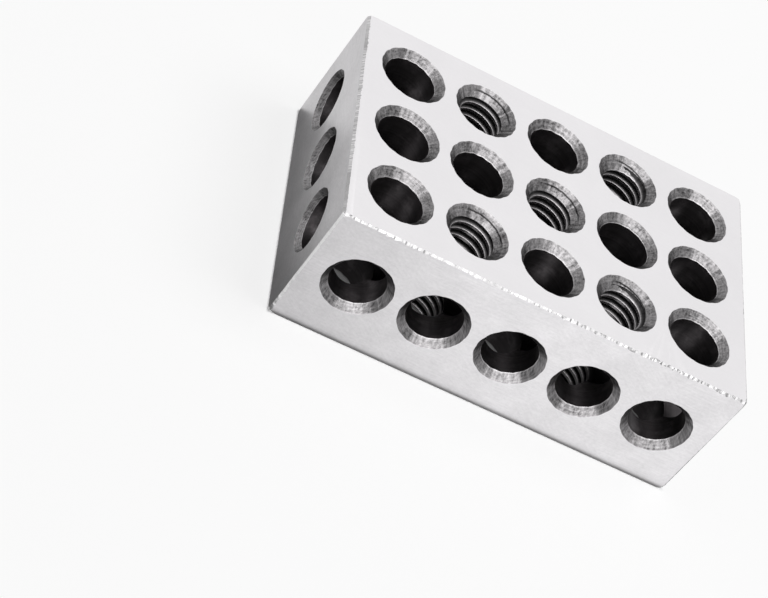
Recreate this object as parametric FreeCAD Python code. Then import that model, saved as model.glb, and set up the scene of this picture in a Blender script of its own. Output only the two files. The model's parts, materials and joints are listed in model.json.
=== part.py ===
"""A 1-2-3 setup block: a ground steel block, 1 by 2 by 3 inches, drilled through on all three axes.

Machinists use it in pairs to raise, square, stop and clamp work. Every face is a datum face. The broad
faces carry a grid of through holes, some of them tapped, and the grid's rows and columns are drilled
through from the ends and the sides too, at mid-thickness, so that three holes meet at every grid point.

Frame: millimetres, +Z up, origin at the middle of the bottom broad face. X runs along the length (3 in),
Y across the width (2 in) and Z through the thickness (1 in).
"""

import FreeCAD
import Part

import math
import os

from FreeCAD import Vector

INCH = 25.4

# Blank, ground all over
LENGTH = 3 * INCH
WIDTH = 2 * INCH
THICKNESS = 1 * INCH
EDGE_BREAK = 0.4           # leg of the 45 degree break ground along all twelve edges

# Plain holes: clearance for a 3/8 in bolt
BORE_DIAMETER = 9.6
BROAD_COUNTERSINK = 1.3    # leg of the 45 degree countersink at each mouth, on the broad faces
SIDE_COUNTERSINK = 1.25    # the same on the long narrow faces
END_COUNTERSINK = 0.95     # the same on the two ends

# Tapped holes: 3/8-16 UNC, drilled to tap size here
THREAD_MAJOR = 3 / 8 * INCH
THREAD_PITCH = INCH / 16
TAP_DRILL = THREAD_MAJOR - THREAD_PITCH
TAPPED_COUNTERSINK = 1.1   # from the thread's major diameter, at each mouth

# Rims that the countersinks leave on the faces
BROAD_RIM = BORE_DIAMETER + 2 * BROAD_COUNTERSINK
SIDE_RIM = BORE_DIAMETER + 2 * SIDE_COUNTERSINK
END_RIM = BORE_DIAMETER + 2 * END_COUNTERSINK
TAPPED_RIM = THREAD_MAJOR + 2 * TAPPED_COUNTERSINK

# Hole grid on the broad faces
END_MARGIN = 3 / 8 * INCH  # from an end face to the first column of holes
SIDE_MARGIN = 0.4 * INCH   # from a side face to the first row of holes
LEAST_LAND = 1.0           # flat metal left between the rims of neighbouring countersinks

NODE = "setup_block"
OVERSHOOT = 1.0            # how far a cutter runs past the face that it enters


def spread(size, margin):
    """Hole positions along one axis of the grid: evenly spaced from margin to margin, centred on zero, and
    as many as leave the least land between the widest rims."""
    span = size - 2 * margin
    least_pitch = max(BROAD_RIM, TAPPED_RIM, SIDE_RIM, END_RIM) + LEAST_LAND
    gaps = math.floor(span / least_pitch)
    pitch = span / max(gaps, 1)
    return [pitch * (i - gaps / 2) for i in range(gaps + 1)]


COLUMNS = spread(LENGTH, END_MARGIN)
ROWS = spread(WIDTH, SIDE_MARGIN)


def is_tapped(column, row):
    """Every second hole of the grid is tapped, apart from those in the two end columns."""
    inner = 0 < column < len(COLUMNS) - 1
    return inner and (column + row) % 2 == 1


def ground_blank():
    """The block before drilling, with its edges broken."""
    corner = Vector(-LENGTH / 2, -WIDTH / 2, 0)
    box = Part.makeBox(LENGTH, WIDTH, THICKNESS, corner)
    return box.makeChamfer(EDGE_BREAK, box.Edges)


def through_drill(diameter, rim_diameter, depth, mouth, direction):
    """A through hole with a 45 degree countersink at each mouth, as the solid that it removes.

    Its half section is revolved about the hole's axis: the cones run on past both faces at 45 degrees,
    so that each leaves a rim of rim_diameter on its face.
    """
    radius = diameter / 2
    rim = rim_diameter / 2
    sink = rim - radius
    section = [
        Vector(0, 0, -OVERSHOOT),
        Vector(rim + OVERSHOOT, 0, -OVERSHOOT),
        Vector(radius, 0, sink),
        Vector(radius, 0, depth - sink),
        Vector(rim + OVERSHOOT, 0, depth + OVERSHOOT),
        Vector(0, 0, depth + OVERSHOOT),
    ]
    half = Part.Face(Part.makePolygon(section + section[:1]))
    drill = half.revolve(Vector(0, 0, 0), Vector(0, 0, 1), 360)
    turn = FreeCAD.Rotation(Vector(0, 0, 1), direction)
    drill.Placement = FreeCAD.Placement(mouth, turn)
    return drill


def broad_holes():
    """The grid through the two broad faces, plain or tapped."""
    drills = []
    for column, x in enumerate(COLUMNS):
        for row, y in enumerate(ROWS):
            diameter, rim = (TAP_DRILL, TAPPED_RIM) if is_tapped(column, row) else (BORE_DIAMETER, BROAD_RIM)
            drills.append(through_drill(diameter, rim, THICKNESS, Vector(x, y, 0), Vector(0, 0, 1)))
    return drills


def side_holes():
    """One plain hole along each column of the grid, from side to side at mid-thickness."""
    return [
        through_drill(BORE_DIAMETER, SIDE_RIM, WIDTH, Vector(x, -WIDTH / 2, THICKNESS / 2), Vector(0, 1, 0))
        for x in COLUMNS
    ]


def end_holes():
    """One plain hole along each row of the grid, from end to end at mid-thickness."""
    return [
        through_drill(BORE_DIAMETER, END_RIM, LENGTH, Vector(-LENGTH / 2, y, THICKNESS / 2), Vector(1, 0, 0))
        for y in ROWS
    ]


def setup_block():
    """The finished block: one solid, with the three sets of holes crossing inside it."""
    return ground_blank().cut(broad_holes() + side_holes() + end_holes())


def main():
    os.makedirs("parts", exist_ok=True)
    block = setup_block()
    if not block.isValid() or len(block.Solids) != 1:
        raise RuntimeError("the drilled block is not one valid solid")
    block.Solids[0].exportStep(os.path.join("parts", NODE + ".step"))
    print(f"{NODE}: {len(COLUMNS)} by {len(ROWS)} grid, {block.Volume / 1000:.2f} cm3, {len(block.Faces)} faces")


main()
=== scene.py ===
"""A ground steel setup block in 1-2-3 proportions, with the marks that grinding, drilling, countersinking
and tapping left on it, in a plain studio. Lengths are in metres."""

import json
import math

import bmesh
import bpy
import numpy as np
from bpy.props import FloatProperty, FloatVectorProperty, PointerProperty
from mathutils import Matrix, Vector

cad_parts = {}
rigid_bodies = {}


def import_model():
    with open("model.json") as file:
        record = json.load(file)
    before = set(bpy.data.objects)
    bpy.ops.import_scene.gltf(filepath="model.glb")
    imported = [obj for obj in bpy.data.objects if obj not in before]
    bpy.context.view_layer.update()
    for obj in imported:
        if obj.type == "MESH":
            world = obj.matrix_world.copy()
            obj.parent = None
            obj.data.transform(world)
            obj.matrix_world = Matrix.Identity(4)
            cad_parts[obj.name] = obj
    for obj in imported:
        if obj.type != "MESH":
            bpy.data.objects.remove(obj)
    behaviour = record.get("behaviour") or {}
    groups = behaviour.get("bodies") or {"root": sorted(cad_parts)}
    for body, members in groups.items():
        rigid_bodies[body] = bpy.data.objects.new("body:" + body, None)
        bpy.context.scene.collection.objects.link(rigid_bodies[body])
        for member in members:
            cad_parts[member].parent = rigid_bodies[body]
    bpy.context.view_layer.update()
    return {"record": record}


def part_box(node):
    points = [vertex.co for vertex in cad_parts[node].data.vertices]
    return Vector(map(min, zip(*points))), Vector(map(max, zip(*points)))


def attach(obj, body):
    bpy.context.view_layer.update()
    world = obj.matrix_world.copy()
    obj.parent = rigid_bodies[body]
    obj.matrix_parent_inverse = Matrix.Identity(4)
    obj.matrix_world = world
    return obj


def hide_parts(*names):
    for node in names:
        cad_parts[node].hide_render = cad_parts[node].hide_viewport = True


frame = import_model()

bl_info = {
    "name": "Machinist setup block",
    "version": (1, 0, 0),
    "blender": (4, 5, 0),
    "location": "View3D > Sidebar > Setup Block",
    "description": "A ground, drilled and tapped steel setup block in a plain studio",
    "category": "Add Mesh",
}

NODE = "setup_block"
MM = 0.001
LOW, HIGH = (np.array(corner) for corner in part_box(NODE))
CENTRE, HALF = (LOW + HIGH) / 2, (HIGH - LOW) / 2

# What cut each face of the block. The numbers are also its material slots
LAND, EDGE_BREAK, COUNTERSINK, WALL, CREST, GROOVE = range(6)

OVERSHOOT = 1.0 * MM       # how far a cutter runs past the face that it enters
DRILL_SEGMENTS = 120       # round each drilled hole
TAP_SEGMENTS = 72          # round each tapped hole
STATION = 0.16 * MM        # between the stations along an edge break
SECOND_SETTING = 7.0 * MM  # the holes past this place along the block were tapped in a second setting
SMOOTH_WITHIN = 28         # degrees between faces that are shaded as one surface

# How each edge was broken by hand, by its axis and the sides of the next two axes that meet along it: the
# leg as a share of the size, how ragged it is, and how bright it is. That brightness is partly the stone's
# own tone, and past 1, on the upright edge at the front left and the lower edges of the front and of the left
# end, a painted highlight. The others are plain
PLAIN_EDGE = 0.6, 0.3, 0.7
EDGES = {
    (0, -1, 1): (0.75, 1.0, 0.85),
    (1, 1, -1): (1.0, 0.45, 1.0),
    (2, -1, -1): (0.8, 0.5, 3.4),
    (0, -1, -1): (0.15, 0.2, 2.5),
    (1, -1, -1): (0.15, 0.2, 2.5),
}
EDGE_SPACING = 7.0 * MM    # between one edge's part of the edge breaks' pattern and the next edge's
FACE_SPACING = 50.0 * MM   # between one axis's part of the lands' pattern and the next axis's

# Where the lamps stand round the block, in degrees: the azimuth, the elevation, and half of what each disc
# spans
KEY_LAMP = 92, 63, 22
SHINE_LAMP = -17, 51, 42
LAMP_DISTANCE = 1.2
FLOOR_REACH = 40           # from the middle of the floor to its side, in half lengths of the block

# How much of the floor's light bare metal shows. Close by the block it sees a painted shadow of the block,
# not a cast one, which is least bright in front and reaches further out past the ends than past the long
# sides, and it sees the floor dimmed to the left by painted shade
WHITENED = 0.8             # how far to white the camera sees the floor
PAINTED_SHADOW_LEVEL = 0.12
BACK_GAIN = 0.09
BACK_FROM, BACK_TO = -24 * MM, 0
PAINTED_SHADOW_REACH = 17 * MM
SIDE_STEEPNESS = 14.0      # how many times steeper the shadow ends past the long sides
LEFT_PAINTED_SHADE = 0.34
LEFT_FROM, LEFT_TO = 10 * MM, -50 * MM


class Hole:
    """A through hole, as its mount gives it: the axis that it runs along, its wall's radius, and the depth
    of the 45 degree countersinks, which is half of what the wall's length leaves of the block's thickness
    there."""

    def __init__(self, number, mount):
        self.number = number
        self.axis = int(np.argmax(np.abs(mount["axis"])))
        self.length = 2 * HALF[self.axis]
        self.radius = mount["dims"]["r_mm"] * MM
        self.sink = (self.length - mount["dims"]["length_mm"] * MM) / 2
        self.tapped = mount["kind"] == "threaded_hole"
        self.mouth = np.array(mount["pos_m"], float)
        self.mouth[self.axis] = LOW[self.axis]

    def points(self, along, out, turn):
        """Points at a distance along the hole from its lower mouth, out from its axis, turned round it."""
        along, out, turn = np.broadcast_arrays(along, out, turn)
        around = (self.axis + 1) % 3, (self.axis + 2) % 3
        points = np.empty(along.shape + (3,))
        points[..., self.axis] = along
        points[..., around[0]] = out * np.cos(turn)
        points[..., around[1]] = out * np.sin(turn)
        return points + self.mouth


BORES = [mount for mount in frame["record"]["mounts"] if mount["kind"] in ("bore", "threaded_hole")]
HOLES = [Hole(number, mount) for number, mount in enumerate(BORES)]


# ---- What a user would change ----

def length_of(name, description, default):
    return FloatProperty(name=name, description=description, default=default, min=0, unit="LENGTH",
                         precision=5)


def share_of(name, description, default):
    return FloatProperty(name=name, description=description, default=default, min=0, max=1, subtype="FACTOR")


def angle_of(name, description, degrees):
    return FloatProperty(name=name, description=description, default=math.radians(degrees), subtype="ANGLE")


def colour_of(name, description, default):
    return FloatVectorProperty(name=name, description=description, default=default, min=0, max=1,
                               subtype="COLOR")


def light_of(name, description, default):
    return FloatProperty(name=name, description=description, default=default, min=0)


class BlockSizes(bpy.types.PropertyGroup):
    edge_break: length_of("Edge break", "Leg of the break that is ground along each edge", 0.42 * MM)
    edge_wander: share_of("Edge wander", "How far the edge breaks wander, as a share of their leg", 0.6)
    chatter: length_of("Chatter", "How far the countersinks are out of round", 0.06 * MM)
    thread_major: length_of("Thread diameter", "Major diameter of the tapped holes, 3/8 inch", 9.525 * MM)
    thread_pitch: length_of("Thread pitch", "From one thread to the next, 16 to the inch", 1.5875 * MM)
    thread_entry: angle_of("Thread entry", "Where round the hole the thread runs out on the countersink", -60)
    entry_step: angle_of("Entry step", "How much further round that is in the second setting", 180)


class BlockFinish(bpy.types.PropertyGroup):
    ground: colour_of("Ground faces", "Steel of the six ground faces", (0.84, 0.825, 0.84))
    broken: colour_of("Edge breaks", "Steel of the hand-ground edge breaks", (0.42, 0.415, 0.42))
    turned: colour_of("Countersinks", "Steel of the turned countersinks", (0.165, 0.160, 0.163))
    scale: colour_of("Hole walls", "Dark scale that hardening left in the holes", (0.085, 0.078, 0.081))
    thread: colour_of("Threads", "Steel of the threads", (0.55, 0.53, 0.54))


class StudioLook(bpy.types.PropertyGroup):
    floor: colour_of("Floor", "The pale floor", (0.94, 0.94, 0.94))
    sky: light_of("Sky", "Brightness of the even light from all round", 0.28)
    key: light_of("Key lamp", "Brightness of the large lamp on the right", 4.5)
    shine: light_of("Shine lamp", "Brightness of the front lamp that only metal shows", 2.2)
    lens: FloatProperty(name="Lens", description="Focal length", default=121.907, min=10, unit="CAMERA")
    distance: length_of("Distance", "From the camera to the point that it looks at", 441.914 * MM)
    azimuth: angle_of("Azimuth", "Of the camera, round the block from in front of its long side", -22.301)
    elevation: angle_of("Elevation", "Of the camera above the floor", 39.010)
    roll: angle_of("Roll", "Of the camera, anticlockwise as its user sees it", 39.312)
    aim: FloatVectorProperty(name="Aim", description="What the camera looks at, from the block's middle",
                             default=(-16.198 * MM, -7.205 * MM, -15.819 * MM), subtype="TRANSLATION",
                             unit="LENGTH", precision=5)


# ---- The mesh ----

def mesh_of(name, points, faces, cut_by, hole=-1):
    """A mesh with coincident points merged and its faces turned outwards. Each face carries what cut it,
    and the number of the hole that it belongs to."""
    mesh = bpy.data.meshes.new(name)
    mesh.from_pydata(points, [], faces)
    for label, values in (("cut_by", cut_by), ("hole", np.full(len(faces), hole))):
        mesh.attributes.new(label, "INT", "FACE").data.foreach_set("value", np.asarray(values, np.int32))
    shape = bmesh.new()
    shape.from_mesh(mesh)
    bmesh.ops.remove_doubles(shape, verts=shape.verts, dist=1e-7)
    bmesh.ops.recalc_face_normals(shape, faces=shape.faces)
    shape.to_mesh(mesh)
    shape.free()
    return mesh


def grid_quads(index):
    """The four corners of each cell of a grid of point numbers."""
    corners = index[:-1, :-1], index[:-1, 1:], index[1:, 1:], index[1:, :-1]
    return np.stack(corners, axis=-1).reshape(-1, 4).tolist()


def wander(along, step, draw):
    """Random values from -1 to 1 at every step along a line, with straight runs between them."""
    knots = np.arange(along[0], along[-1] + 2 * step, step)
    return np.interp(along, knots, draw.uniform(-1, 1, len(knots)))


def edge_break(axis, side_b, side_c, sizes):
    """The break along one edge, as a grid of 3 rows by stations: a row on each of the two faces that meet
    there, and one midway, which bulges in and out a little. A face's row stands back from the edge by leg *
    (1 + fade * ragged * wander * (ticks where it is patchy + slow drift)). Towards the ends fade falls to 0
    and the leg grows to its full size, so that three breaks meet in one corner."""
    b, c = (axis + 1) % 3, (axis + 2) % 3
    share, ragged, _ = EDGES.get((axis, side_b, side_c), PLAIN_EDGE)
    run = HALF[axis] - sizes.edge_break
    along = np.linspace(-run, run, 2 * round(run / STATION) + 1)
    fade = np.clip((run - np.abs(along)) / (2 * sizes.edge_break), 0, 1)
    leg = sizes.edge_break * (1 - fade * (1 - share))
    draw = np.random.default_rng([axis, side_b + 1, side_c + 1])
    grid = np.empty((3, len(along), 3))
    grid[..., axis] = along
    backs = []
    for _ in range(2):
        patchy = np.clip(0.4 + 0.9 * wander(along, 4 * MM, draw), 0, 1)
        ticks = 1.6 * np.maximum(wander(along, 0.3 * MM, draw), -0.3)
        drift = wander(along, 3 * MM, draw)
        backs.append(leg * (1 + fade * ragged * sizes.edge_wander * (patchy * ticks + 0.3 * drift)))
    grid[0, :, b], grid[0, :, c] = side_b * HALF[b], side_c * (HALF[c] - backs[0])
    grid[2, :, b], grid[2, :, c] = side_b * (HALF[b] - backs[1]), side_c * HALF[c]
    grid[1] = (grid[0] + grid[2]) / 2
    bulge = 0.08 * leg * fade * wander(along, 0.35 * MM, draw)
    grid[1, :, b] += side_b * bulge
    grid[1, :, c] += side_c * bulge
    return grid + CENTRE


def ground_blank(sizes):
    """The block before drilling. Each of the twelve edges has its break. Each of the six lands is one flat
    face whose outline is the rows that four breaks leave on it, and a small six-sided face closes each
    corner."""
    points, faces, rows, count = [], [], {}, 0
    for axis in range(3):
        for side_b in (-1, 1):
            for side_c in (-1, 1):
                grid = edge_break(axis, side_b, side_c, sizes)
                index = np.arange(grid[..., 0].size).reshape(grid.shape[:2]) + count
                rows[axis, side_b, side_c] = index
                count += index.size
                points.append(grid.reshape(-1, 3))
                faces += grid_quads(index)
    cut_by = [EDGE_BREAK] * len(faces)
    for axis in range(3):
        b, c = (axis + 1) % 3, (axis + 2) % 3
        for side in (-1, 1):
            outline = (rows[b, -1, side][2], rows[c, side, 1][0],
                       rows[b, 1, side][2][::-1], rows[c, side, -1][0][::-1])
            faces.append(np.concatenate([row[:-1] for row in outline]).tolist())
            cut_by.append(LAND)
    for x in (-1, 1):
        for y in (-1, 1):
            for z in (-1, 1):
                ends = [rows[2, x, y][:, -(z > 0)], rows[0, y, z][:, -(x > 0)], rows[1, z, x][:, -(y > 0)]]
                faces.append(np.concatenate([end[:2] for end in ends]).tolist())
                cut_by.append(EDGE_BREAK)
    return mesh_of("blank", np.concatenate(points), faces, cut_by)


def closed(points, lead=0):
    """A grid of points round a hole, rows by turns, made into a closed surface. Its last column meets its
    first one lead rows further on, and a fan of triangles closes each end. Returns the points, the quads
    and the fans."""
    count = points[..., 0].size
    index = np.arange(count).reshape(points.shape[:2])
    fans, poles = [], []
    for rim in (np.append(index[0], index[:lead, 0][::-1]),
                np.append(index[-1], index[len(index) - 1 - lead:-1, -1][::-1])):
        fans += np.stack([rim[:-1], rim[1:], np.full(len(rim) - 1, count + len(poles))], axis=1).tolist()
        poles.append(points.reshape(-1, 3)[rim[:-1]].mean(0))
    return np.concatenate([points.reshape(-1, 3), poles]), grid_quads(index), fans


def drilling(hole, sizes):
    """What the drill and the two countersinks remove. A countersink's rim stands out by radius + sink +
    lean * cosine + chatter * a many-sided figure's sagitta, and from there a 45 degree cone narrows to the
    drill's radius."""
    draw = np.random.default_rng(100 + hole.number)
    turn = np.linspace(0, 2 * math.pi, DRILL_SEGMENTS + 1)
    along, out = [], []
    for _ in range(2):
        sides, start, lean = draw.integers(14, 20), draw.uniform(0, 1), draw.uniform(0, 2 * math.pi)
        across = (sides * turn / (2 * math.pi) + start) % 1 - 0.5
        chatter = sizes.chatter * draw.uniform(0.5, 1.1) * (1 - 8 * across**2)
        rim = hole.radius + hole.sink + chatter + sizes.chatter * draw.uniform(0.3, 1.2) * np.cos(turn - lean)
        along.append(np.stack([np.full_like(turn, -OVERSHOOT), rim - hole.radius]))
        out.append(np.stack([rim + OVERSHOOT, np.full_like(turn, hole.radius)]))
    along = np.concatenate([along[0], hole.length - along[1][::-1]])
    points, quads, fans = closed(hole.points(along, np.concatenate([out[0], out[1][::-1]]), turn))
    wall = CREST if hole.tapped else WALL
    cut_by = np.repeat([COUNTERSINK, wall, COUNTERSINK], DRILL_SEGMENTS).tolist()
    return mesh_of("drilling", points, quads + fans, cut_by + [COUNTERSINK] * len(fans), hole.number)


def tapping(hole, sizes):
    """What the tap removes after the drill: one groove wound round the hole. Its section has 60 degree
    flanks and a root an eighth of a pitch wide, and its rows follow the helix: along = run_out + pitch *
    (place in the section + turns since the entry), where run_out is how far along the countersink is as
    wide as the thread."""
    pitch, major = sizes.thread_pitch, sizes.thread_major / 2
    inner = hole.radius - 0.08 * MM
    flank = (major - inner) * math.tan(math.radians(30)) / pitch
    section = np.array([-flank, 0, 1 / 16, 1 / 8, 1 / 8 + flank])
    height = np.array([0, 0.95, 1, 0.95, 0])
    below, above = math.ceil((hole.length + OVERSHOOT) / pitch) + 1, math.ceil(OVERSHOOT / pitch) + 2
    places = (np.arange(-below, above)[:, None] + section).reshape(-1, 1)
    out = np.tile(inner + height * (major - inner), below + above).reshape(-1, 1)
    turn = np.linspace(0, 2 * math.pi, TAP_SEGMENTS + 1)
    run_out = hole.length - (hole.radius + hole.sink - major)
    entry = sizes.thread_entry + sizes.entry_step * (hole.mouth[0] > SECOND_SETTING)
    along = run_out + pitch * (places + (turn - entry) / (2 * math.pi))
    points, quads, fans = closed(hole.points(along, out, turn), len(section))
    return mesh_of("tapping", points, quads + fans, [GROOVE] * (len(quads) + len(fans)), hole.number)


def machined(sizes):
    """The blank less everything that the drill, the countersinks and the tap remove, in one cut."""
    scene = bpy.context.scene
    tools = bpy.data.collections.new("tools")
    scene.collection.children.link(tools)
    meshes = [drilling(hole, sizes) for hole in HOLES]
    meshes += [tapping(hole, sizes) for hole in HOLES if hole.tapped]
    for mesh in meshes:
        tools.objects.link(bpy.data.objects.new(mesh.name, mesh))
    blank = bpy.data.objects.new("blank", ground_blank(sizes))
    scene.collection.objects.link(blank)
    cut = blank.modifiers.new("holes", "BOOLEAN")
    cut.operation, cut.solver = "DIFFERENCE", "MANIFOLD"
    cut.operand_type, cut.collection = "COLLECTION", tools
    mesh = bpy.data.meshes.new_from_object(blank.evaluated_get(bpy.context.evaluated_depsgraph_get()))
    for thing in [*tools.objects, blank]:
        bpy.data.meshes.remove(thing.data)
    bpy.data.collections.remove(tools)
    return mesh


def read(items, label, kind, width=1):
    """A value of every vertex, loop, face or attribute entry, as one array."""
    values = np.empty(len(items) * width, kind)
    items.foreach_get(label, values)
    return values.reshape(-1, width) if width > 1 else values


def mark_places(mesh):
    """Gives each corner what its finish follows. Pattern is the vector from the axis on a hole's faces, the
    place along the grinding, across it and on which side of the block on a land, and the place along the
    edge, the edge's own number and its brightness, which on three edges is a painted highlight, on an edge
    break. Depth is from the nearer mouth of the hole, past_wall how far out past its wall, and tapped is 1 in
    a tapped hole."""
    place = read(mesh.vertices, "co", np.float32, 3)[read(mesh.loops, "vertex_index", np.int32)]
    corners = read(mesh.polygons, "loop_total", np.int32)
    cut_by = np.repeat(read(mesh.attributes["cut_by"].data, "value", np.int32), corners)
    number = np.repeat(read(mesh.attributes["hole"].data, "value", np.int32), corners)
    axis = np.array([hole.axis for hole in HOLES])[number]
    corner = np.arange(len(place))
    out = place - np.array([hole.mouth for hole in HOLES])[number]
    along = out[corner, axis]
    out[corner, axis] = 0
    depth = np.minimum(along, np.array([hole.length for hole in HOLES])[number] - along)
    past_wall = np.linalg.norm(out, axis=1) - np.array([hole.radius for hole in HOLES])[number]

    normal = np.repeat(read(mesh.polygons, "normal", np.float32, 3), corners, axis=0)
    side = np.argmax(np.abs(normal), axis=1)
    faced = np.sign(normal[corner, side])
    grinding = np.where(side == 0, 1, 0)
    across = 3 - side - grinding
    face_place = (side + 1) * faced * FACE_SPACING
    land = np.stack([place[corner, grinding], place[corner, across], face_place], axis=1)
    run = np.argmax(HALF - np.abs(place - CENTRE), axis=1)
    sides = (place > CENTRE).astype(int)
    # Each edge's brightness: its own tone, and on three edges a painted highlight
    bright = np.array([EDGES.get((axis, 2 * b - 1, 2 * c - 1), PLAIN_EDGE)[2]
                       for axis in range(3) for b in (0, 1) for c in (0, 1)])
    edge = 4 * run + 2 * sides[corner, (run + 1) % 3] + sides[corner, (run + 2) % 3]
    edge_place = np.stack([place[corner, run], edge * EDGE_SPACING, bright[edge] * MM], axis=1)
    on_land, on_edge = (cut_by == LAND)[:, None], (cut_by == EDGE_BREAK)[:, None]
    pattern = np.where(on_land, land, np.where(on_edge, edge_place, out)).astype(np.float32)
    tapped = np.array([hole.tapped for hole in HOLES], float)[number]
    mesh.attributes.new("pattern", "FLOAT_VECTOR", "CORNER").data.foreach_set("vector", pattern.ravel())
    for label, values in (("depth", depth), ("past_wall", past_wall), ("tapped", tapped)):
        mesh.attributes.new(label, "FLOAT", "CORNER").data.foreach_set("value", values.astype(np.float32))


# ---- Finishes ----

class Value:
    """A shader node's output socket, wrapped so that shader maths reads as arithmetic: each step adds a
    node."""

    def __init__(self, nodes, socket):
        self.nodes, self.socket = nodes, socket

    def math(self, operation, *terms):
        return self.nodes.node("ShaderNodeMath", {"operation": operation}, dict(enumerate(terms)))

    def __add__(self, other):
        return self.math("ADD", self, other)

    def __sub__(self, other):
        return self.math("SUBTRACT", self, other)

    def __rsub__(self, other):
        return self.math("SUBTRACT", other, self)

    def __mul__(self, other):
        return self.math("MULTIPLY", self, other)

    __radd__, __rmul__ = __add__, __mul__

    def __abs__(self):
        return self.math("ABSOLUTE", self)

    def limited(self, low, high):
        return self.math("MAXIMUM", self.math("MINIMUM", self, high), low)

    def rise(self, low, high):
        """0 below low, 1 above high, and a smooth rise between."""
        return self.nodes.node("ShaderNodeMapRange", {"interpolation_type": "SMOOTHSTEP"},
                               {"Value": self, "From Min": low, "From Max": high})


class Nodes:
    """The nodes of a material or a world, and the few kinds of pattern that the finishes share."""

    def __init__(self, owner):
        owner.use_nodes = True
        self.owner, self.tree = owner, owner.node_tree
        self.tree.nodes.clear()

    def node(self, kind, settings=None, inputs=None, output=0):
        """Adds a node of that kind with its settings, feeds its inputs, and returns the wrapped output."""
        node = self.tree.nodes.new(kind)
        for setting, value in (settings or {}).items():
            setattr(node, setting, value)
        for name, value in (inputs or {}).items():
            if isinstance(value, Value):
                self.tree.links.new(value.socket, node.inputs[name])
            else:
                node.inputs[name].default_value = value
        return Value(self, node.outputs[output]) if node.outputs else None

    def vector(self, operation, *terms, output=0):
        return self.node("ShaderNodeVectorMath", {"operation": operation}, dict(enumerate(terms)), output)

    def millimetres(self):
        """The vector that a finish's pattern follows."""
        return self.vector("MULTIPLY", self.attribute("pattern", "Vector"), (1000.0,) * 3)

    def joined(self, x, y, z):
        return self.node("ShaderNodeCombineXYZ", {}, {0: x, 1: y, 2: z})

    def place(self):
        """Where the surface is, in millimetres."""
        return self.vector("MULTIPLY", self.node("ShaderNodeTexCoord", output="Object"), (1000.0,) * 3)

    def attribute(self, name, output="Fac"):
        return self.node("ShaderNodeAttribute", {"attribute_name": name}, output=output)

    def noise(self, vector, scale, detail=2.0, roughness=0.5):
        """Cloudy noise from 0 to 1, about 0.5 on average."""
        return self.node("ShaderNodeTexNoise", {},
                         {"Vector": vector, "Scale": scale, "Detail": detail, "Roughness": roughness})

    def stripes(self, value, scale, detail=2.0, roughness=0.5):
        """The same noise along one number only, which draws stripes across it."""
        return self.node("ShaderNodeTexNoise", {"noise_dimensions": "1D"},
                         {"W": value, "Scale": scale, "Detail": detail, "Roughness": roughness})

    def around(self, fineness, down, detail, roughness):
        """Noise on a hole's faces: fine round the hole, and drawn out along a value that runs down it."""
        way = self.vector("MULTIPLY", self.vector("NORMALIZE", self.millimetres()), (fineness,) * 3)
        return self.noise(self.vector("ADD", way, self.joined(0.0, 0.0, down)), 1.0, detail, roughness)

    def ray(self, kind):
        """1 for that kind of ray, and 0 for the others."""
        return self.node("ShaderNodeLightPath", output=f"Is {kind} Ray")

    def mirrored(self):
        """1 for what shows in bare metal or through glass, and 0 for light on its way to a matt surface."""
        straight = self.node("ShaderNodeLightPath", output="Diffuse Depth").rise(0.6, 0.4)
        glossy = self.ray("Glossy")
        return glossy.math("MAXIMUM", glossy, self.ray("Transmission")) * straight

    def parts(self, vector):
        """A vector's three numbers."""
        first = self.node("ShaderNodeSeparateXYZ", {}, {0: vector})
        return [Value(self, socket) for socket in first.socket.node.outputs]

    def steel(self, colour, tone, roughness, height):
        """Ends a finish as bare metal: its colour times a tone, with its surface raised by height in
        millimetres."""
        grey = self.joined(tone, tone, tone)
        shade = self.node("ShaderNodeMix", {"data_type": "RGBA", "blend_type": "MULTIPLY"},
                          {0: 1.0, 6: (*colour, 1), 7: grey}, 2)
        normal = self.node("ShaderNodeBump", {}, {"Height": height, "Distance": MM})
        metal = self.node("ShaderNodeBsdfPrincipled", {},
                          {"Base Color": shade, "Roughness": roughness, "Metallic": 1.0, "Normal": normal})
        self.node("ShaderNodeOutputMaterial", {}, {"Surface": metal})
        return self.owner


def ground_land(colour):
    """A surface-ground face: fine lines from the wheel along it, fainter ones that cross them in patches,
    scratches, and a cloudy tone. The four narrow sides are ground more coarsely than the two broad
    faces."""
    f = Nodes(bpy.data.materials.new("ground_land"))
    p = f.millimetres()
    broad, narrow = 2.6 * FACE_SPACING / MM, 2.4 * FACE_SPACING / MM
    coarse = abs(f.parts(p)[2]).rise(broad, narrow)
    drift = f.noise(p, 0.022, 1)
    clouds = f.noise(p, 0.13, 4, 0.6)
    lines = f.noise(f.vector("MULTIPLY", p, (0.25, 2.6, 1.0)), 1.0, 3, 0.65)
    slant = f.node("ShaderNodeVectorRotate", {"rotation_type": "Z_AXIS"},
                   {"Vector": p, "Angle": math.radians(35)})
    crossing = f.noise(f.vector("MULTIPLY", slant, (0.35, 2.2, 1.0)), 1.0, 3, 0.7)
    where = f.noise(p, 0.11, 2).rise(0.42, 0.62)
    fine = f.noise(p, 1.6, 4, 0.7)
    scratches = f.noise(f.vector("MULTIPLY", slant, (0.5, 5.0, 1.0)), 1.0, 1).rise(0.70, 0.78) * where
    marks = lines * (1 - 0.7 * where) + crossing * (0.7 * where)
    rough = 0.3 + 1.5 * coarse
    uneven = 0.16 * (clouds - 0.5) + 0.14 * (marks - 0.5) + 0.14 * (fine - 0.5)
    tone = 0.93 + 0.16 * (drift - 0.5) + rough * uneven
    return f.steel(colour, tone + 0.06 * scratches, 0.26 + 0.10 * marks + 0.08 * clouds,
                   rough * (0.004 * marks + 0.003 * fine) + 0.001 * scratches)


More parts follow.
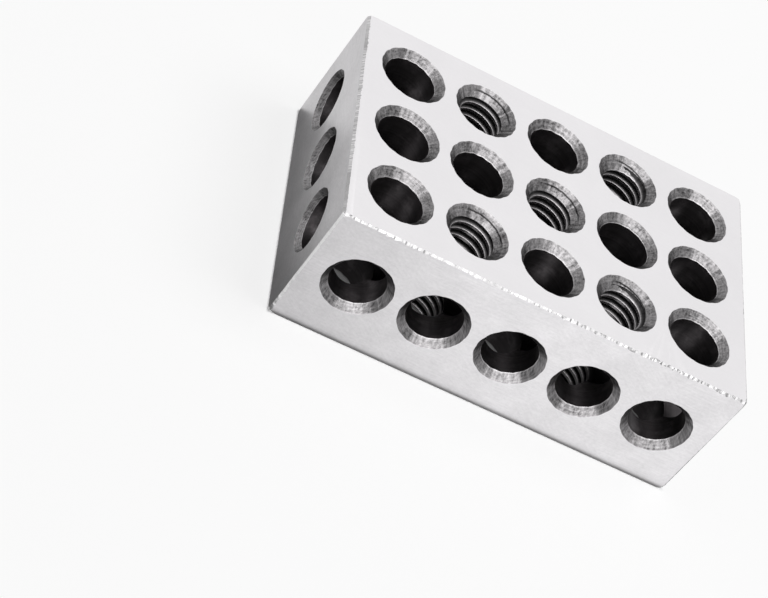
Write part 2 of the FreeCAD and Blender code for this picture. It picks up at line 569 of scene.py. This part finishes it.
def broken_edge(colour):
    """A hand-stoned edge break: light and dark ticks straight across the edge, in patches. Its brightness
    is the edge's own number, which on three edges goes past 1 as a painted highlight.
    """
    f = Nodes(bpy.data.materials.new("broken_edge"))
    p = f.millimetres()
    bright = f.parts(p)[2]
    ticks = f.noise(f.vector("MULTIPLY", p, (2.8, 1.0, 0.0)), 1.0, 2, 0.7).rise(0.36, 0.64)
    patches = f.noise(f.vector("MULTIPLY", p, (0.25, 3.7, 0.0)), 1.0, 2, 0.5).rise(0.35, 0.6)
    fine = f.noise(f.place(), 4.0, 2, 0.6)
    return f.steel(colour, bright * (0.7 + 0.9 * (ticks * patches) + 0.3 * fine), 0.22 + 0.2 * fine,
                   0.012 * ticks + 0.004 * fine)


def turned_countersink(colour):
    """A countersink's cone: the rings that the cutter's lips turned, streaks of chatter straight down it,
    darker and lighter sectors placed at random round each hole, which are painted sheen, and a lighter line
    where the cone meets the wall. In a tapped hole the tap's lead scored a dark line part of the way round."""
    f = Nodes(bpy.data.materials.new("turned_countersink"))
    out = f.millimetres()
    way = f.vector("NORMALIZE", out)
    ring = f.vector("LENGTH", out, output="Value")
    hole = f.attribute("hole")
    depth = f.attribute("depth") * 1000
    rings = f.stripes(ring + 7.3 * hole, 3.4, 2, 0.7)
    streaks = f.around(13.0, 1.3 * ring + 3.3 * hole, 3, 0.65)
    flecks = f.around(9.0, 4.5 * ring + 5.1 * hole, 3, 0.7)
    # Painted sheen: lighter and darker sectors round each hole, standing in for the turned cone's reflections
    painted_sheen_sectors = f.noise(f.vector("ADD", way, f.joined(0.0, 0.0, 3.1 * hole)), 1.6, 0).rise(0.36, 0.62)
    # A lighter line where the cone meets the wall
    mouth_line = (f.attribute("past_wall") * 1000).rise(0.14, 0.05)
    lip = depth.rise(0.10, 0.02)
    x, y, _ = f.parts(out)
    turn = y.math("ARCTAN2", y, x)
    second = f.parts(f.place())[0].rise(SECOND_SETTING / MM - 1, SECOND_SETTING / MM)
    line = depth + (0.12 + 0.2 * second) * turn + 0.12 * (streaks - 0.5) - (0.86 + 0.5 * second)
    score = f.attribute("tapped") * abs(line).rise(0.15, 0.06) * turn.rise(-0.2, 0.3) * turn.rise(2.2, 1.7)
    tone = 1.05 + 1.0 * (rings - 0.5) + 2.4 * (streaks - 0.5) + 2.4 * (flecks - 0.5) + 0.35 * (painted_sheen_sectors - 0.5)
    return f.steel(colour, tone.limited(0.25, 3.0) * (1 - 0.85 * score) + 0.8 * mouth_line + 0.3 * lip,
                   0.30 + 0.2 * (flecks - 0.5), 0.03 * rings + 0.03 * streaks + 0.02 * flecks)


def deep_painted_shade(f):
    """How bright the steel is by its depth in the hole: darker deep down, a painted shade."""
    return 0.12 + 0.88 * (f.attribute("depth") * 1000).rise(9.5, 6.0)


def drilled_wall(colour):
    """A drilled wall under hardening scale: rings from the drill's lips, patches where the scale is thin, and
    painted shade deep down."""
    f = Nodes(bpy.data.materials.new("drilled_wall"))
    rings = f.stripes(f.attribute("depth") * 1000, 1.6, 3, 0.7)
    patches = f.noise(f.place(), 0.35, 3, 0.6).rise(0.45, 0.75)
    # Painted shade: darker deep in the hole
    tone = deep_painted_shade(f) * (0.5 + 0.8 * rings + 0.9 * patches)
    return f.steel(colour, tone, 0.36 + 0.12 * rings, 0.012 * rings)


def torn(f):
    """The streaks that a tap tears across its thread: fine round the hole, and long down it."""
    return f.around(14.0, 0.9 * f.parts(f.place())[2], 4, 0.7)


def thread_crest(colour):
    """What the tap left of the drilled wall: narrow crests, dark with scale."""
    f = Nodes(bpy.data.materials.new("thread_crest"))
    streaks = torn(f)
    return f.steel(colour, 0.15 + 0.7 * streaks, 0.28 + 0.12 * streaks, 0.01 * streaks)


def thread_groove(colour):
    """A thread's flanks and root: torn steel, with painted shade dark down in the root, painted light that
    brightens the flanks as they come up to the crest, and a painted highlight along the crest's edge."""
    f = Nodes(bpy.data.materials.new("thread_groove"))
    streaks = torn(f)
    past = f.attribute("past_wall") * 1000 + 0.25 * (streaks - 0.5)
    # Painted shade and light: darker towards the root, lighter up the flank towards the crest
    flank = past.rise(0.55, 0.0)
    # Painted highlight along the edge where the flank meets the crest
    crest_edge_highlight = past.rise(0.15, 0.02)
    tears = (1.8 * streaks - 0.3).limited(0.1, 2.0)
    tone = deep_painted_shade(f) * tears * (0.06 + 0.55 * flank * flank + 0.7 * crest_edge_highlight)
    return f.steel(colour, tone, 0.34 + 0.12 * streaks, 0.02 * streaks)


def pale_floor(colour):
    """A pale matt floor, which the camera sees most of the way to white. Bare metal sees it white too, with a
    painted shadow close by the block and painted shade that dims it to the left."""
    f = Nodes(bpy.data.materials.new("pale_floor"))
    place = f.node("ShaderNodeTexCoord", output="Object")
    under = float(HALF[0]), float(HALF[1]), FLOOR_REACH
    away = f.vector("MAXIMUM", f.vector("SUBTRACT", f.vector("ABSOLUTE", place), under), (0.0, 0.0, 0.0))
    near = f.vector("LENGTH", away, output="Value")
    shaded = f.vector("LENGTH", f.vector("MULTIPLY", away, (1.0, SIDE_STEEPNESS, 1.0)), output="Value")
    open_air = shaded.rise(0.0, PAINTED_SHADOW_REACH)
    x, y, _ = f.parts(place)
    # Painted shadow and shade: what bare metal sees of the floor is white, dimmed by level close by the block
    # and towards the left
    least = PAINTED_SHADOW_LEVEL + BACK_GAIN * y.rise(BACK_FROM, BACK_TO)
    level = (least + (1 - least) * open_air * open_air) * (1 - LEFT_PAINTED_SHADE * x.rise(LEFT_FROM, LEFT_TO))
    past_block = near.rise(-0.1 * MM, 0.4 * MM)
    matt = f.node("ShaderNodeBsdfPrincipled", {}, {"Base Color": (*colour, 1), "Roughness": 0.9})
    white = f.node("ShaderNodeEmission", {}, {"Color": (1, 1, 1, 1), "Strength": 1.0})
    black = f.node("ShaderNodeEmission", {}, {"Color": (0, 0, 0, 1), "Strength": 0.0})
    seen = f.node("ShaderNodeMixShader", {}, {0: WHITENED * f.ray("Camera") * past_block, 1: matt, 2: white})
    reflected_with_painted_shadow = f.node("ShaderNodeMixShader", {}, {0: level, 1: black, 2: white})
    surface = f.node("ShaderNodeMixShader", {}, {0: f.mirrored(), 1: seen, 2: reflected_with_painted_shadow})
    f.node("ShaderNodeOutputMaterial", {}, {"Surface": surface})
    return f.owner


# ---- The block and the stage ----

class SETUPBLOCK_OT_block(bpy.types.Operator):
    """Make the drilled, countersunk and tapped block with its finishes"""
    bl_idname = "setup_block.make_block"
    bl_label = "Block"

    def execute(self, context):
        finish = context.scene.block_finish
        mesh = machined(context.scene.block_sizes)
        sides = np.bincount(read(mesh.loops, "edge_index", np.int32), minlength=len(mesh.edges))
        if not (sides == 2).all():
            raise RuntimeError(f"the block's mesh is open along {int((sides != 2).sum())} edges")
        mark_places(mesh)
        mesh.materials.clear()
        for finished, colour in ((ground_land, finish.ground), (broken_edge, finish.broken),
                                 (turned_countersink, finish.turned), (drilled_wall, finish.scale),
                                 (thread_crest, finish.thread), (thread_groove, finish.thread)):
            mesh.materials.append(finished(colour))
        mesh.polygons.foreach_set("material_index", read(mesh.attributes["cut_by"].data, "value", np.int32))
        mesh.shade_smooth()
        mesh.set_sharp_from_angle(angle=math.radians(SMOOTH_WITHIN))
        block = bpy.data.objects.new("ground_setup_block", mesh)
        context.scene.collection.objects.link(block)
        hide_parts(NODE)
        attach(block, "root")
        return {"FINISHED"}


def outward(azimuth, elevation):
    """The direction from the block to something round it, from in front of its long narrow side and above
    the floor."""
    level = math.cos(elevation)
    return Vector((math.sin(azimuth) * level, -math.cos(azimuth) * level, math.sin(elevation)))


def aimed(data, place, target, roll=0.0):
    """A lamp or camera that stands at a place and looks at a target."""
    thing = bpy.data.objects.new(data.name, data)
    turn = (target - place).to_track_quat("-Z", "Y").to_matrix().to_4x4() @ Matrix.Rotation(roll, 4, "Z")
    thing.matrix_world = Matrix.Translation(place) @ turn
    bpy.context.scene.collection.objects.link(thing)
    return thing


def lamp_of(name, brightness, stand, middle):
    """A round area lamp that faces the block and that the camera doesn't see."""
    azimuth, elevation, spread = (math.radians(angle) for angle in stand)
    lamp = bpy.data.lights.new(name, "AREA")
    lamp.shape = "DISK"
    lamp.size = 2 * LAMP_DISTANCE * math.tan(spread)
    lamp.energy = brightness * (math.pi * lamp.size / 2) ** 2
    thing = aimed(lamp, middle + LAMP_DISTANCE * outward(azimuth, elevation), middle)
    thing.visible_camera = False
    return thing


class SETUPBLOCK_OT_stage(bpy.types.Operator):
    """Make the floor, the light and the camera"""
    bl_idname = "setup_block.make_stage"
    bl_label = "Stage"

    def execute(self, context):
        look, scene, middle = context.scene.studio_look, context.scene, Vector(CENTRE)
        across = FLOOR_REACH * HALF.max()
        mesh = bpy.data.meshes.new("floor")
        corners = [(x * across, y * across, LOW[2]) for x, y in ((-1, -1), (1, -1), (1, 1), (-1, 1))]
        mesh.from_pydata(corners, [], [(0, 1, 2, 3)])
        mesh.materials.append(pale_floor(look.floor))
        floor = bpy.data.objects.new("floor", mesh)
        scene.collection.objects.link(floor)

        scene.world = bpy.data.worlds.new("studio")
        sky = Nodes(scene.world)
        white = sky.ray("Camera") + sky.mirrored()
        light = sky.node("ShaderNodeBackground", {},
                         {"Color": (1, 1, 1, 1), "Strength": look.sky + (1 - look.sky) * white})
        sky.node("ShaderNodeOutputWorld", {}, {"Surface": light})

        lamp_of("key_lamp", look.key, KEY_LAMP, middle).visible_glossy = False
        lamp_of("shine_lamp", look.shine, SHINE_LAMP, middle).visible_diffuse = False

        camera = bpy.data.cameras.new("camera")
        camera.lens, camera.clip_start, camera.clip_end = look.lens, 0.01, 20
        target = middle + Vector(look.aim)
        stand = target + look.distance * outward(look.azimuth, look.elevation)
        scene.camera = aimed(camera, stand, target, look.roll)
        scene.view_settings.view_transform = "Standard"
        return {"FINISHED"}


class SETUPBLOCK_PT_panel(bpy.types.Panel):
    """The block's sizes and finishes, and the studio"""
    bl_idname = "SETUPBLOCK_PT_panel"
    bl_label = "Setup block"
    bl_space_type = "VIEW_3D"
    bl_region_type = "UI"
    bl_category = "Setup Block"

    def draw(self, context):
        for groups, operator in ((("block_sizes", "block_finish"), SETUPBLOCK_OT_block),
                                 (("studio_look",), SETUPBLOCK_OT_stage)):
            for group in groups:
                for label in GROUPS[group].__annotations__:
                    self.layout.prop(getattr(context.scene, group), label)
            self.layout.operator(operator.bl_idname)


GROUPS = {"block_sizes": BlockSizes, "block_finish": BlockFinish, "studio_look": StudioLook}
CLASSES = (*GROUPS.values(), SETUPBLOCK_OT_block, SETUPBLOCK_OT_stage, SETUPBLOCK_PT_panel)


def register():
    for cls in CLASSES:
        bpy.utils.register_class(cls)
    for name, group in GROUPS.items():
        setattr(bpy.types.Scene, name, PointerProperty(type=group))


def unregister():
    for name in GROUPS:
        delattr(bpy.types.Scene, name)
    for cls in reversed(CLASSES):
        bpy.utils.unregister_class(cls)


def main():
    register()
    bpy.ops.setup_block.make_block()
    bpy.ops.setup_block.make_stage()


if __name__ == "__main__":
    main()
